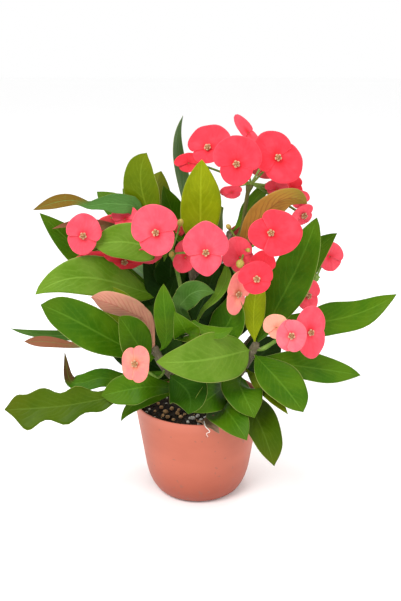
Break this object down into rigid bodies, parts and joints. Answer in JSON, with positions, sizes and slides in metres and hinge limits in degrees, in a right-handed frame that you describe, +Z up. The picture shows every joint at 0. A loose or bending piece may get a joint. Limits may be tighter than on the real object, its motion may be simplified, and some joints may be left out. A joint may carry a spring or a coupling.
{
  "type": "potted flowering plant",
  "caption": "Bushy crown-of-thorns euphorbia with thorny woody stems, oval leaves and round pink paired bracts, growing in a small round-footed terracotta-coloured plastic pot.",
  "frame": {"origin": "middle of the pot's flat foot, on the surface that the pot stands on", "axes": "+Z up along the pot's axis; -Y towards the plant's front, where most leaves and flowers face; +X to the right of someone who looks at that front"},
  "size_m": [0.3132, 0.1682, 0.3082],
  "materials": {
    "bark": "matte",
    "rose": "satin",
    "pale": "satin",
    "bronze": "satin",
    "olive": "satin",
    "blue": "satin",
    "young": "satin",
    "dark": "satin",
    "mid": "satin",
    "light": "satin",
    "pot": "satin",
    "soil": "matte",
    "stalk": "satin"
  },
  "bodies": {
    "root": {"branch_back": "bark", "branch_front": "bark", "branch_left": "bark", "branch_middle": "bark", "branch_rear": "bark", "branch_right": "bark", "flower_inner_low": "rose", "flower_inner_right": "rose", "flower_left_outer": "rose", "flower_left_upper": "rose", "flower_low_pale": "pale", "flower_middle": "rose", "flower_rear_top": "rose", "flower_right_back": "rose", "flower_right_far": "rose", "flower_right_front": "rose", "flower_right_upper": "rose", "flower_top_front": "rose", "flower_top_left": "rose", "flower_top_right": "rose", "leaf_back_bronze": "bronze", "leaf_back_olive": "olive", "leaf_back_tall": "blue", "leaf_back_upright": "young", "leaf_front_cupped": "dark", "leaf_front_hanging": "mid", "leaf_front_large": "light", "leaf_front_long": "olive", "leaf_front_pink": "bronze", "leaf_front_short": "dark", "leaf_front_upright": "light", "leaf_left_arching": "light", "leaf_left_behind": "dark", "leaf_left_broad": "dark", "leaf_left_middle": "light", "leaf_left_twisted": "bronze", "leaf_low_drooping": "dark", "leaf_low_front": "light", "leaf_low_hanging": "olive", "leaf_middle_curved": "blue", "leaf_middle_folded": "blue", "leaf_middle_oval": "blue", "leaf_middle_right": "dark", "leaf_rear_left": "dark", "leaf_rear_middle": "mid", "leaf_rear_right": "dark", "leaf_right_behind": "dark", "leaf_right_drooping": "mid", "leaf_right_far": "mid", "leaf_right_low": "dark", "leaf_right_tall": "dark", "pot": "pot", "soil": "soil", "stalk_inner": "stalk", "stalk_left": "stalk", "stalk_middle": "stalk", "stalk_rear": "stalk", "stalk_right": "stalk", "stalk_top": "stalk", "trunk": "bark"}
  },
  "joints": []
}
